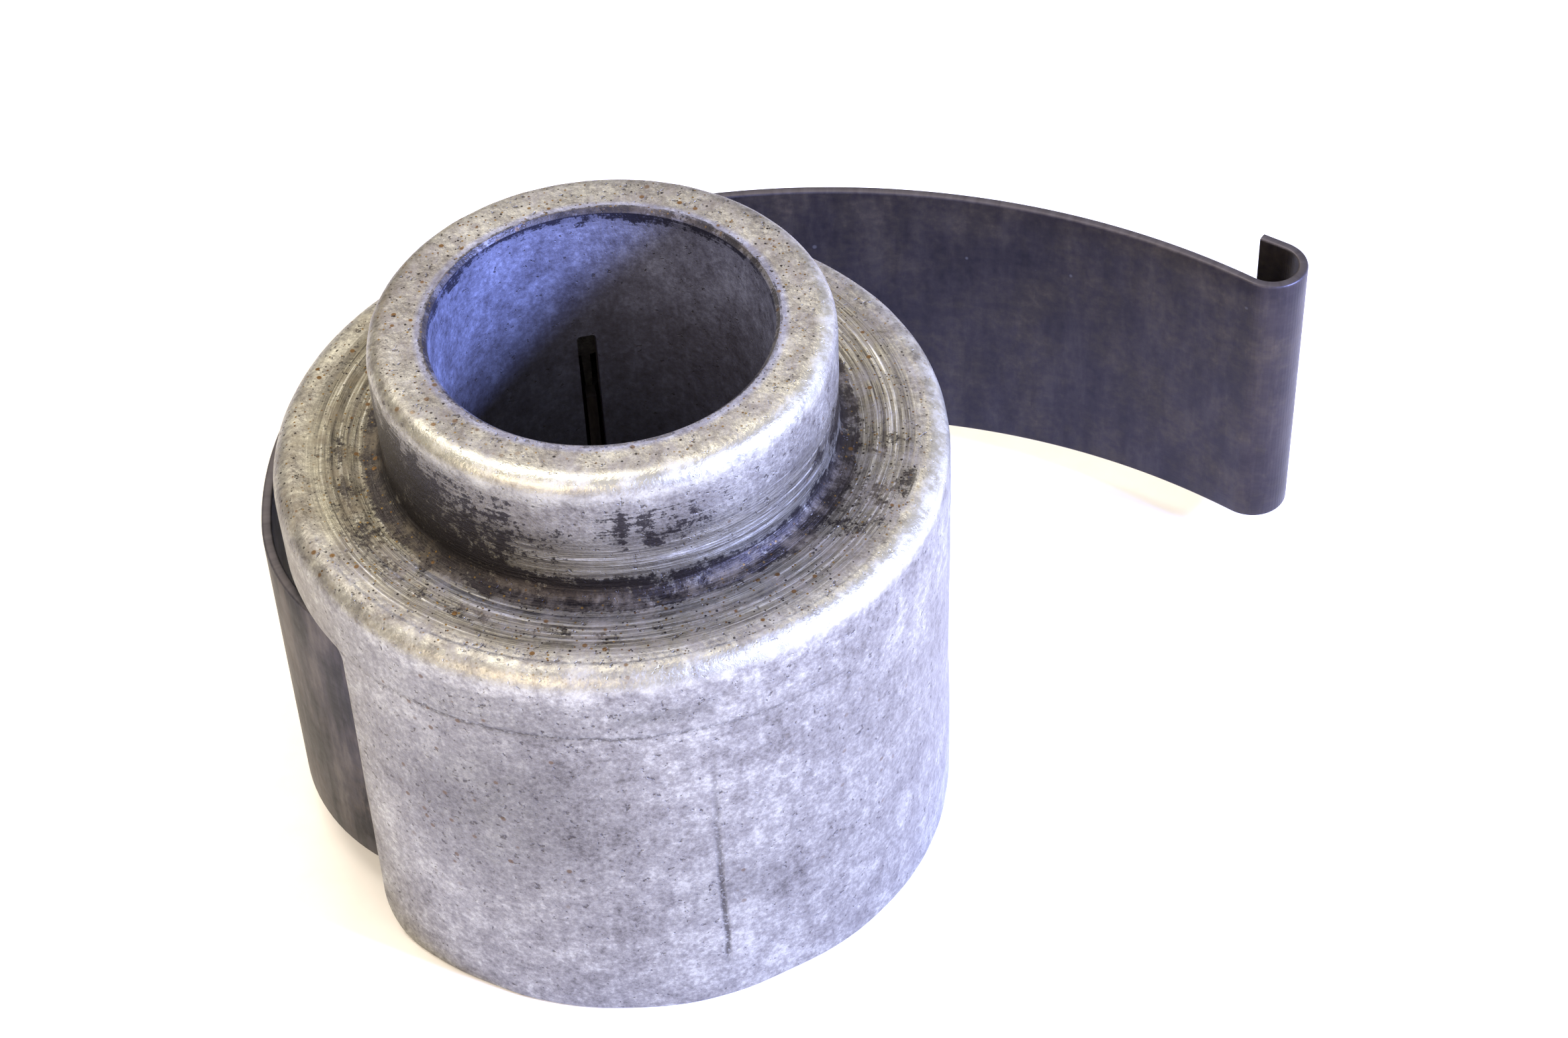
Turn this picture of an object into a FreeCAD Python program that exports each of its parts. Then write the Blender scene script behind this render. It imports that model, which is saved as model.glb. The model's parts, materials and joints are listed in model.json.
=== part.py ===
import FreeCAD, Part
import math
import os

# A cast hub with a flat steel strip spring wound inside it (sizes in millimetres).
#
# The hub is one aluminium die casting: a short neck and a long inner tube share one bore, and a
# shoulder carries a skirt that hangs round the tube. The space between tube and skirt is the
# spring chamber. The spring is one strip of steel. Its inner end is a tab held in a slot of the
# tube, it winds outwards inside the chamber, leaves through a window in the skirt, sweeps round
# the outside as a curved arm and ends in a small hook.
#
# Origin: on the bore axis, in the plane that the skirt and the tube stand on. +Z points up
# through the neck. Angles are measured anticlockwise from +X, looking down on the neck.

# --- Strip spring -------------------------------------------------------------------------------
strip_thickness = 0.8
strip_width = 25.8
strip_foot_clearance = 3.3
strip_top_clearance = 1.7
tab_setback = 0.6
tab_bend_radius = 1.2
coil_tube_clearance = 0.4
coil_skirt_room = 4.13
coil_extra_turns = 2
coil_end_angle = -118.8
lip_room = 1.53

# --- Hub casting --------------------------------------------------------------------------------
bore_radius = 12.5
bore_chamfer = 0.3
tube_wall = 1.8
chamber_width = 8.6
skirt_wall = 1.9
skirt_draft = 0.1
rim_step = 0.1
lintel_depth = 2.5
shoulder_thickness = 4.0
neck_length = 10.7
neck_wall = 4.4
neck_edge_round = 1.3
neck_base_round = 0.8
rim_edge_round = 1.6
foot_edge_round = 0.3
chamber_corner_round = 1.0

# --- Window in the skirt, where the strip leaves ------------------------------------------------
window_lip_lead = 0.8
window_span = 102.5
window_foot_round = 3.5
window_top_round = 1.0

# --- Slot in the tube, which holds the strip's tab ----------------------------------------------
slot_angle = 95.6
slot_rise = 2.5
slot_side_clearance = 0.35

# --- Arm outside the hub: arcs of (radius beyond the rim's, sweep in degrees, number of links) --
# A rigid link stands for a short stretch of the bending strip.
arm_arcs = [
    (-8.6, 60.0, 2),
    (7.1, 77.5, 4),
    (32.2, 59.5, 5),
]
link_gap = 0.2

# --- Hook at the arm's end ----------------------------------------------------------------------
hook_radius = 2.6
hook_sweep = 185.0
hook_leg = 2.2

# --- Worked out from the sizes above ------------------------------------------------------------
neck_radius = bore_radius + neck_wall
tube_radius = bore_radius + tube_wall
chamber_radius = tube_radius + chamber_width
skirt_foot_radius = chamber_radius + skirt_wall
skirt_radius = skirt_foot_radius + skirt_draft
rim_radius = skirt_radius + rim_step
rim_foot = strip_foot_clearance + strip_width + strip_top_clearance
chamber_top = rim_foot + lintel_depth
shoulder_height = chamber_top + shoulder_thickness
overall_height = shoulder_height + neck_length
half_strip = strip_thickness / 2
slot_width = strip_thickness + 2 * slot_side_clearance
slot_top = chamber_top + slot_rise
coil_start_radius = tube_radius + coil_tube_clearance + half_strip
coil_end_radius = chamber_radius - coil_skirt_room

CUT_OVER = 1.0            # how far a cutting tool runs past what it cuts
COIL_POINTS_PER_TURN = 24  # points on the coil's spiral in each turn
BEND_STEPS = 12           # tries that bring the tab's bend in line with the spiral


def vector(point, z=0.0):
    """A point (x, y) of the plan, lifted to height z."""
    return FreeCAD.Vector(point[0], point[1], z)


def on_circle(radius, angle):
    """The plan point at a radius and an angle in degrees."""
    turn = math.radians(angle)
    return (radius * math.cos(turn), radius * math.sin(turn))


def ahead(point, heading, distance):
    """The plan point a distance away along a heading in degrees."""
    step = on_circle(distance, heading)
    return (point[0] + step[0], point[1] + step[1])


def rounded_face(corners):
    """A face in the XZ plane from corners (radius, height, rounding)."""
    edges = []
    ends = []
    for index, (r, z, rounding) in enumerate(corners):
        here = FreeCAD.Vector(r, 0, z)
        before = corners[index - 1]
        after = corners[(index + 1) % len(corners)]
        to_before = (FreeCAD.Vector(before[0], 0, before[1]) - here).normalize()
        to_after = (FreeCAD.Vector(after[0], 0, after[1]) - here).normalize()
        if rounding == 0:
            ends.append((here, here))
            continue
        half_angle = to_before.getAngle(to_after) / 2
        setback = rounding / math.tan(half_angle)
        middle = (to_before + to_after).normalize()
        centre = here + middle * (rounding / math.sin(half_angle))
        first = here + to_before * setback
        last = here + to_after * setback
        edges.append(Part.Arc(first, centre - middle * rounding, last).toShape())
        ends.append((first, last))
    for index, (first, last) in enumerate(ends):
        leaving = ends[index - 1][1]
        if leaving.distanceToPoint(first) > 1e-6:
            edges.append(Part.makeLine(leaving, first))
    return Part.Face(Part.Wire(Part.sortEdges(edges)[0]))


def turned(corners):
    """A face of the XZ plane turned once round the bore axis."""
    return rounded_face(corners).revolve(FreeCAD.Vector(0, 0, 0), FreeCAD.Vector(0, 0, 1), 360)


def hub_blank():
    """The casting before the window and the slot are cut."""
    return turned([
        (bore_radius, 0, 0),
        (tube_radius, 0, foot_edge_round),
        (tube_radius, chamber_top, chamber_corner_round),
        (chamber_radius, chamber_top, chamber_corner_round),
        (chamber_radius, 0, foot_edge_round),
        (skirt_foot_radius, 0, foot_edge_round),
        (skirt_radius, rim_foot, 0),
        (rim_radius, rim_foot + rim_step, 0),
        (rim_radius, shoulder_height, rim_edge_round),
        (neck_radius, shoulder_height, neck_base_round),
        (neck_radius, overall_height, neck_edge_round),
        (bore_radius + bore_chamfer, overall_height, 0),
        (bore_radius, overall_height - bore_chamfer, 0),
    ])


def window_corner(angle, side, rounding, at_foot):
    """The piece between a square corner and its rounding: a square less a quarter disc.

    The square lies anticlockwise of the angle where side is +1 and clockwise where it is -1. It
    stands on the foot of the skirt, or hangs below the window's top edge.
    """
    depth = skirt_wall + rim_step + skirt_draft + 2 * CUT_OVER
    inner = chamber_radius - CUT_OVER
    low = 0 if at_foot else rim_foot - rounding
    left = 0 if side > 0 else -rounding
    block = Part.makeBox(depth, rounding, rounding, FreeCAD.Vector(inner, left, low))
    middle_height = rounding if at_foot else rim_foot - rounding
    centre = FreeCAD.Vector(inner, side * rounding, middle_height)
    corner = block.cut(Part.makeCylinder(rounding, depth, centre, FreeCAD.Vector(1, 0, 0)))
    corner.rotate(FreeCAD.Vector(0, 0, 0), FreeCAD.Vector(0, 0, 1), angle)
    return corner


def window_lip_angle():
    """The angle of the window's lip: just past the end of the strip's straight run."""
    x, y = ahead(*exit_run())
    return math.degrees(math.atan2(y, x)) - window_lip_lead


def window_tool():
    """The cutter for the window in the skirt, open at the foot and rounded at its corners."""
    lip_angle = window_lip_angle()
    far_angle = lip_angle - window_span
    inner = chamber_radius - CUT_OVER
    outer = rim_radius + CUT_OVER
    corners = [(inner, -CUT_OVER), (outer, -CUT_OVER), (outer, rim_foot), (inner, rim_foot)]
    section = Part.makePolygon([FreeCAD.Vector(r, 0, z) for r, z in corners + corners[:1]])
    axis_foot = FreeCAD.Vector(0, 0, 0)
    axis = FreeCAD.Vector(0, 0, 1)
    tool = Part.Face(section).revolve(axis_foot, axis, window_span)
    tool.rotate(axis_foot, axis, far_angle)
    for angle, outwards in ((lip_angle, 1), (far_angle, -1)):
        tool = tool.cut(window_corner(angle, -outwards, window_top_round, at_foot=False))
        tool = tool.fuse(window_corner(angle, outwards, window_foot_round, at_foot=True))
    return tool


def slot_tool():
    """The cutter for the tab's slot: through the tube's wall, open at the foot."""
    tool = Part.makeBox(tube_wall + CUT_OVER, slot_width, slot_top + CUT_OVER,
                        FreeCAD.Vector(bore_radius - CUT_OVER, -slot_width / 2, -CUT_OVER))
    tool.rotate(FreeCAD.Vector(0, 0, 0), FreeCAD.Vector(0, 0, 1), slot_angle)
    return tool


def hub_casting():
    return hub_blank().cut(window_tool()).cut(slot_tool()).removeSplitter()


def strip_solid(left_side, right_side):
    """The strip's full width, raised on its two long sides, each a list of edges in order."""
    caps = []
    for end in (0, -1):
        left = left_side[end].valueAt(left_side[end].ParameterRange[end])
        right = right_side[end].valueAt(right_side[end].ParameterRange[end])
        caps.append(Part.makeLine(left, right))
    face = Part.Face(Part.Wire(Part.sortEdges(left_side + right_side + caps)[0]))
    face.translate(FreeCAD.Vector(0, 0, strip_foot_clearance))
    return face.extrude(FreeCAD.Vector(0, 0, strip_width))


def straight_side(start, heading, length, offset):
    """One long side of a flat stretch, offset to the left of its middle line."""
    first = ahead(start, heading + 90, offset)
    return Part.makeLine(vector(first), vector(ahead(first, heading, length)))


def arc_end(start, heading, radius, sweep):
    """The end point of an arc that turns clockwise for a positive sweep, in degrees."""
    side = 1 if sweep > 0 else -1
    centre = ahead(start, heading - 90 * side, radius)
    return ahead(centre, heading + 90 * side - sweep, radius)


def arc_side(start, heading, radius, sweep, offset):
    """One long side of a curved stretch, offset to the left of its middle line."""
    side = 1 if sweep > 0 else -1
    centre = ahead(start, heading - 90 * side, radius)
    points = []
    for share in (0, 0.5, 1):
        points.append(vector(ahead(centre, heading + 90 * side - share * sweep, radius + side * offset)))
    return Part.Arc(points[0], points[1], points[2]).toShape()


def both_sides(side_maker, *sizes):
    """The left and the right side that a side function makes, half a thickness either way."""
    return side_maker(*sizes, half_strip), side_maker(*sizes, -half_strip)


def straight_strip(start, heading, length):
    """A flat stretch of strip that starts at a plan point and heading."""
    left, right = both_sides(straight_side, start, heading, length)
    return strip_solid([left], [right])


def curved_strip(start, heading, radius, sweep):
    """A stretch of strip along an arc."""
    left, right = both_sides(arc_side, start, heading, radius, sweep)
    return strip_solid([left], [right])


def coil_travel(first_angle):
    """The angle in degrees that the spiral winds through, from its first angle to its end."""
    return (first_angle - coil_end_angle) % 360 + 360 * coil_extra_turns


def coil_lean(radius, first_radius, travel):
    """How far the spiral's heading leans outwards from the circle at a radius, in degrees."""
    rise = (coil_end_radius - first_radius) / math.radians(travel)
    return math.degrees(math.atan2(rise, radius))


def coil_side(first_radius, first_angle, travel, offset):
    """One long side of the spiral, which runs clockwise and outwards at an even rate."""
    count = round(travel / 360 * COIL_POINTS_PER_TURN)
    points = []
    for index in range(count + 1):
        share = index / count
        radius = first_radius + (coil_end_radius - first_radius) * share
        angle = first_angle - travel * share
        left = angle + coil_lean(radius, first_radius, travel)
        points.append(vector(ahead(on_circle(radius, angle), left, offset)))
    curve = Part.BSplineCurve()
    curve.interpolate(points)
    return curve.toShape()


def coil_start():
    """The tab's and the bend's places, and the radius and angle where the spiral starts."""
    tab_start = on_circle(bore_radius + tab_setback, slot_angle)
    tab_length = coil_start_radius - tab_bend_radius - bore_radius - tab_setback
    bend_start = ahead(tab_start, slot_angle, tab_length)
    bend_sweep = 90.0
    for _ in range(BEND_STEPS):
        x, y = arc_end(bend_start, slot_angle, tab_bend_radius, bend_sweep)
        first_radius = math.hypot(x, y)
        first_angle = math.degrees(math.atan2(y, x))
        lean = coil_lean(first_radius, first_radius, coil_travel(first_angle))
        bend_sweep = slot_angle - (first_angle - 90 + lean)
    return tab_start, tab_length, bend_start, bend_sweep, first_radius, first_angle


def spring_coil():
    """The tab, its bend and the spiral turns inside the chamber, as one strip."""
    tab_start, tab_length, bend_start, bend_sweep, first_radius, first_angle = coil_start()
    travel = coil_travel(first_angle)
    tab = both_sides(straight_side, tab_start, slot_angle, tab_length)
    bend = both_sides(arc_side, bend_start, slot_angle, tab_bend_radius, bend_sweep)
    turns = both_sides(coil_side, first_radius, first_angle, travel)
    return strip_solid([tab[0], bend[0], turns[0]], [tab[1], bend[1], turns[1]])


def exit_run():
    """Where the straight run starts, its heading, and its length up to the window's lip.

    The run leaves the coil without a kink and ends a set room inside the skirt's inner face.
    """
    first_radius, first_angle = coil_start()[-2:]
    lean = coil_lean(coil_end_radius, first_radius, coil_travel(first_angle))
    outward = coil_end_radius * math.sin(math.radians(lean))
    end_radius = chamber_radius - lip_room
    length = math.sqrt(end_radius ** 2 - coil_end_radius ** 2 + outward ** 2) - outward
    return on_circle(coil_end_radius, coil_end_angle), coil_end_angle - 90 + lean, length


def spring_exit():
    """The straight run from the coil to the lip of the window."""
    start, heading, length = exit_run()
    return straight_strip(start, heading, length - link_gap / 2)


def spring_arm():
    """The links of the arm, in order, and the plan point and heading where the arm ends."""
    start, heading, length = exit_run()
    point = ahead(start, heading, length)
    links = []
    arcs = []
    for beyond_rim, sweep, count in arm_arcs:
        arcs += [(rim_radius + beyond_rim, sweep / count)] * count
    for index, (radius, sweep) in enumerate(arcs):
        end = arc_end(point, heading, radius, sweep)
        trim = math.degrees(link_gap / 2 / radius)
        last_trim = 0 if index == len(arcs) - 1 else trim
        first = arc_end(point, heading, radius, trim)
        links.append(curved_strip(first, heading - trim, radius, sweep - trim - last_trim))
        point = end
        heading -= sweep
    return links, point, heading


def spring_hook(start, heading):
    """The hook: a bend back over the strip's outer face and a short straight leg."""
    bend = both_sides(arc_side, start, heading, hook_radius, -hook_sweep)
    leg_start = arc_end(start, heading, hook_radius, -hook_sweep)
    leg = both_sides(straight_side, leg_start, heading + hook_sweep, hook_leg)
    return strip_solid([bend[0], leg[0]], [bend[1], leg[1]])


def save(name, shape):
    if not shape.isValid():
        raise RuntimeError(name + " is not a valid shape")
    if len(shape.Solids) != 1:
        raise RuntimeError(name + " is not one solid")
    shape.Solids[0].exportStep(os.path.join("parts", name + ".step"))
    print(name, round(shape.Volume, 1), "mm3")


os.makedirs("parts", exist_ok=True)
save("hub_casting", hub_casting())
save("spring_coil", spring_coil())
save("spring_exit", spring_exit())
arm_links, arm_end, arm_heading = spring_arm()
for number, link in enumerate(arm_links, 1):
    save("spring_arm_%02d" % number, link)
save("spring_hook", spring_hook(arm_end, arm_heading))
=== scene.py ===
# %% [markdown]
# # A cast hub with a wound strip spring
# The object has two physical parts: one aluminium die casting, and one long strip of blued
# spring steel that is wound inside it and sweeps round its outside as an arm with a small hook.
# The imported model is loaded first. It fixes every place and size, so nothing below is fitted.

# %% Load the fixed frame
import json
import math
import random

import bmesh
import bpy
import numpy as np
from mathutils import Matrix, Vector, noise

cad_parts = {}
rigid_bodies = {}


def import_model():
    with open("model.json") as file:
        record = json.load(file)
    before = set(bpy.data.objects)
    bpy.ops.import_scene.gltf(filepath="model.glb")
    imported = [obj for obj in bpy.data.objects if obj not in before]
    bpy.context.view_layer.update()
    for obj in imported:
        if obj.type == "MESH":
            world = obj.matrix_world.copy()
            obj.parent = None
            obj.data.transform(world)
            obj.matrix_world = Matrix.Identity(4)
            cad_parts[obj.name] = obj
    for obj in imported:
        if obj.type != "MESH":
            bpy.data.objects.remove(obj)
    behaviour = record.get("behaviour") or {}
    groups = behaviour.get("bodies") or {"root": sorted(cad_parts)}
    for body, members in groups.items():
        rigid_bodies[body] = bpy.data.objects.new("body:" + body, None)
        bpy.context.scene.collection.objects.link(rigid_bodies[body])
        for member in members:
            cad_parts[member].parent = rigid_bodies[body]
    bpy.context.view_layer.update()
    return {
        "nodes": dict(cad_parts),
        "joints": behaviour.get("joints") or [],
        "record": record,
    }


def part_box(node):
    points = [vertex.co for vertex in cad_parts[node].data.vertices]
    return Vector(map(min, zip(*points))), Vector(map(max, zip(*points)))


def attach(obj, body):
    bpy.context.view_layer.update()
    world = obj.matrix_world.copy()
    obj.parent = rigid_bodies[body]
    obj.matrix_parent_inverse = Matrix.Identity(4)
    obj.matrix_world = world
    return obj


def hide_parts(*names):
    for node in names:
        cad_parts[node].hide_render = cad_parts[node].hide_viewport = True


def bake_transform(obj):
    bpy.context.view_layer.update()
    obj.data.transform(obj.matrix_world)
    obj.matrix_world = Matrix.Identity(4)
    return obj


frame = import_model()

# %% [markdown]
# The shapes are easiest to think of in millimetres, so each mesh is made in them and scaled to
# metres at the end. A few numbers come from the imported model: its joints say where the strip
# bends, its mounts give the bore and the neck, and its boxes give the heights.

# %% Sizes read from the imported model, in millimetres
MM = 0.001
joints = sorted(frame["joints"], key=lambda joint: joint["name"])
hinges = [Vector(joint["pos_m"]) / MM for joint in joints]
mounts = {mount["name"]: mount for mount in frame["record"]["mounts"]}
hub_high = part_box("hub_casting")[1] / MM
strip_low, strip_high = [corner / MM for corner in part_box("spring_coil")]

bore_radius = mounts["bore"]["dims"]["r_mm"]
neck_radius = mounts["neck_journal"]["dims"]["r_mm"]
bore_length = mounts["bore"]["dims"]["length_mm"]
shoulder_height = mounts["shoulder"]["pos_m"][2] / MM
top_height = hub_high.z
rim_radius = hub_high.x
strip_foot, strip_top = strip_low.z, strip_high.z
print("hub height %.1f, rim radius %.1f, strip %.1f wide"
      % (top_height, rim_radius, strip_top - strip_foot))

# %% The casting's other sizes, as the solid model has them
TUBE_RADIUS = 14.3
CHAMBER_RADIUS = 22.9
FOOT_RADIUS = 24.8
RIM_FOOT = 30.8
CHAMBER_TOP = 33.3
WINDOW_SPAN = 102.5
LIP_LEAD = 0.8
STRIP_THICKNESS = 0.8
COLUMNS = 288                     # steps round the axis, each 1.25 degrees
column_step = 360 / COLUMNS
lip_angle = math.degrees(math.atan2(hinges[0].y, hinges[0].x)) - LIP_LEAD
window_middle = lip_angle - WINDOW_SPAN / 2
print("window lip at %.1f degrees, %g columns wide" % (lip_angle, WINDOW_SPAN / column_step))

# %% [markdown]
# ## Turning a half section into the upper body
# The neck, shoulder, rim and inner tube are all round, so one half section is drawn as a wire
# and spun once round the bore axis. A vertex bevel rounds each corner of the wire first: on a
# square corner its offset is the radius. Runs that will carry fine marks get more points.

# %% Draw the half section
WELD_HEIGHT = 32.2                # where the spun body and the rolled skirt are joined
# Each corner: radius, height, rounding, and the point spacing of the run that leads up to it.
SECTION = [
    (CHAMBER_RADIUS, WELD_HEIGHT, 0, 0),
    (CHAMBER_RADIUS, CHAMBER_TOP, 1.0, 1.0),
    (TUBE_RADIUS, CHAMBER_TOP, 1.0, 1.5),
    (TUBE_RADIUS, 0, 0.3, 2.5),
    (bore_radius, 0, 0, 1.0),
    (bore_radius, bore_length, 0, 1.6),
    (bore_radius + top_height - bore_length, top_height, 0, 0.25),
    (neck_radius, top_height, 1.3, 0.4),
    (neck_radius, shoulder_height, 0.8, 0.5),
    (rim_radius, shoulder_height, 1.6, 0.115),
    (rim_radius, WELD_HEIGHT, 0, 0.35),
]


def wire_section(corners):
    """A wire of straight runs in the XZ plane, with its corners rounded and its runs divided."""
    bm = bmesh.new()
    verts = [bm.verts.new((radius, 0, height)) for radius, height, _, _ in corners]
    runs = [bm.edges.new(pair) for pair in zip(verts, verts[1:])]
    spacings = [corner[3] for corner in corners[1:]]
    for vert, (_, _, rounding, _) in zip(verts, corners):
        if rounding:
            bmesh.ops.bevel(bm, geom=[vert], offset=rounding, offset_type="OFFSET",
                            segments=max(3, round(rounding * 5)), profile=0.5,
                            affect="VERTICES", material=-1)
    longest = sorted(bm.edges, key=lambda edge: -edge.calc_length())[:len(runs)]
    for edge in longest:
        middle = (edge.verts[0].co + edge.verts[1].co) / 2
        nearest = min(range(len(spacings)), key=lambda i: distance_to_run(middle, corners, i))
        cuts = round(edge.calc_length() / spacings[nearest]) - 1
        if cuts > 0:
            bmesh.ops.subdivide_edges(bm, edges=[edge], cuts=cuts)
    return bm


def distance_to_run(point, corners, index):
    """How far a point of the XZ plane is from one straight run of the section."""
    a = Vector((corners[index][0], 0, corners[index][1]))
    b = Vector((corners[index + 1][0], 0, corners[index + 1][1]))
    share = max(0, min(1, (point - a).dot(b - a) / (b - a).length_squared))
    return (point - a - (b - a) * share).length


upper = wire_section(SECTION)
print("half section of %d points" % len(upper.verts))

# %% Spin it round the bore axis
bmesh.ops.rotate(upper, verts=upper.verts, cent=(0, 0, 0),
                 matrix=Matrix.Rotation(math.radians(window_middle), 3, "Z"))
bmesh.ops.spin(upper, geom=upper.verts[:] + upper.edges[:], cent=(0, 0, 0), axis=(0, 0, 1),
               dvec=(0, 0, 0), angle=math.tau, steps=COLUMNS, use_merge=True,
               use_duplicate=False)
print("upper body: %d faces" % len(upper.faces))

# %% [markdown]
# ## Rolling the skirt from a flat pattern
# The skirt is a cylinder with a window that is open at its foot. Cut flat, it is a plate whose
# corners a vertex bevel can round: the two at the foot outwards, the two at the top inwards.
# The plate gets its thickness, its edges are broken as a die leaves them, and it is sliced into
# the same columns as the upper body. Then it is rolled round the axis and welded on.

# %% Cut the pattern
WALL = 2.0
ROLL_RADIUS = 24.0
WINDOW_TOP_CORNER, WINDOW_FOOT_CORNER = 1.0, 3.5
BROKEN_EDGE = 0.32
pattern_length = math.tau * ROLL_RADIUS
half_window = math.radians(WINDOW_SPAN / 2) * ROLL_RADIUS
PATTERN = [
    (0, WELD_HEIGHT, 0), (0, RIM_FOOT, 0), (half_window, RIM_FOOT, WINDOW_TOP_CORNER),
    (half_window, 0, WINDOW_FOOT_CORNER),
    (pattern_length - half_window, 0, WINDOW_FOOT_CORNER),
    (pattern_length - half_window, RIM_FOOT, WINDOW_TOP_CORNER),
    (pattern_length, RIM_FOOT, 0),
    (pattern_length, WELD_HEIGHT, 0),
]
skirt = bmesh.new()
corners = [skirt.verts.new((x, 0, z)) for x, z, _ in PATTERN]
skirt.faces.new(corners)
for vert, (_, _, rounding) in zip(corners, PATTERN):
    if rounding:
        bmesh.ops.bevel(skirt, geom=[vert], offset=rounding, offset_type="OFFSET",
                        segments=8, profile=0.5, affect="VERTICES", material=-1)
print("pattern of %d corners" % len(skirt.verts))

# %% Give the plate its thickness and break the window's edges
risen = bmesh.ops.extrude_face_region(skirt, geom=skirt.faces[:])["geom"]
bmesh.ops.translate(skirt, verts=[part for part in risen if isinstance(part, bmesh.types.BMVert)],
                    vec=(0, WALL, 0))


def lies_on(part, axis, value):
    """True where every vertex of an edge or a face has one coordinate at a value."""
    return all(abs(vert.co[axis] - value) < 1e-4 for vert in part.verts)


def open_side(part):
    """True at the pattern's two seam ends and at its top, where it will be welded."""
    return (lies_on(part, 0, 0) or lies_on(part, 0, pattern_length)
            or lies_on(part, 2, WELD_HEIGHT))


outline = [edge for edge in skirt.edges
           if (lies_on(edge, 1, 0) or lies_on(edge, 1, WALL)) and not open_side(edge)]
bmesh.ops.bevel(skirt, geom=outline, offset=BROKEN_EDGE, offset_type="OFFSET", segments=3,
                profile=0.5, affect="EDGES", clamp_overlap=True, material=-1)
bmesh.ops.delete(skirt, geom=[face for face in skirt.faces if open_side(face)],
                 context="FACES_ONLY")
bmesh.ops.delete(skirt, geom=[edge for edge in skirt.edges if not edge.link_faces],
                 context="EDGES")
print("plate of %d faces" % len(skirt.faces))


# %% Slice it into columns and rows
def slice_across(bm, axis, places):
    """Cuts the whole mesh with planes square to an axis."""
    normal = [0, 0, 0]
    normal[axis] = 1
    for place in places:
        point = [0, 0, 0]
        point[axis] = place
        bmesh.ops.bisect_plane(bm, geom=bm.verts[:] + bm.edges[:] + bm.faces[:],
                               plane_co=point, plane_no=normal, dist=1e-5)


# Rows are 0.8 mm apart up the wall, and finer where the rim's lower edge wanders.
rows = [0.8 * row for row in range(1, 38)] + [30.0 + 0.22 * row for row in range(10)]
slice_across(skirt, 0, [pattern_length * column / COLUMNS for column in range(1, COLUMNS)])
slice_across(skirt, 2, rows)
print("sliced into %d faces" % len(skirt.faces))

# %% Roll it round the axis
def crease_height(angle):
    """The rim's lower edge wanders a little, as a trimmed parting line does."""
    return 31.1 + 0.35 * math.sin(math.radians(angle + 20) * 3) + 0.25 * noise.noise(
        Vector((math.cos(math.radians(angle)) * 3, math.sin(math.radians(angle)) * 3, 1)))


def smooth_step(value, low, high):
    share = max(0.0, min(1.0, (value - low) / (high - low)))
    return share * share * (3 - 2 * share)


for vert in skirt.verts:
    x, y, z = vert.co
    angle = window_middle + 360 * x / pattern_length
    above = smooth_step(z, crease_height(angle) - 0.15, crease_height(angle) + 0.15)
    outer = FOOT_RADIUS + 0.1 * z / RIM_FOOT
    outer += (rim_radius - outer) * max(above, smooth_step(z, 31.9, WELD_HEIGHT))
    radius = CHAMBER_RADIUS + (outer - CHAMBER_RADIUS) * y / WALL
    turn = math.radians(angle)
    vert.co = (radius * math.cos(turn), radius * math.sin(turn), z)

# %% Weld the skirt to the upper body
rolled = bpy.data.meshes.new("rolled_skirt")
skirt.to_mesh(rolled)
skirt.free()
upper.from_mesh(rolled)
WELD_GAP = 0.004
bmesh.ops.remove_doubles(upper, verts=upper.verts, dist=WELD_GAP)
bmesh.ops.recalc_face_normals(upper, faces=upper.faces)
open_edges = [edge for edge in upper.edges if len(edge.link_faces) != 2]
print("casting: %d faces, %d open edges" % (len(upper.faces), len(open_edges)))

# %% [markdown]
# ## Wear and unevenness in the shape
# A die casting is never true: the wall wavers by a tenth of a millimetre or two, the foot is
# uneven, and the shoulder is scored in rings where another part turned on it. These are moves
# of the mesh itself, small enough to keep every fit. Smaller marks are left to the finish.

# %% Score and waver the casting
random.seed(7)
RINGS = [(random.uniform(17.8, 23.3), random.uniform(0.07, 0.2), random.uniform(0.01, 0.03),
          random.uniform(0, 360), random.uniform(40, 150)) for _ in range(46)]


def ring_depth(radius, angle):
    """How deep the turned scores are at a place on the shoulder."""
    depth = 0.0
    for ring, width, deep, middle, reach in RINGS:
        if abs(radius - ring) < 3 * width:
            off = abs((angle - middle + 180) % 360 - 180)
            depth += deep * math.exp(-((radius - ring) / width) ** 2) * smooth_step(
                reach, off * 0.7, off * 1.3 + 1)
    return depth + 0.10 * math.exp(-((radius - 18.6) / 0.5) ** 2)


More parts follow.
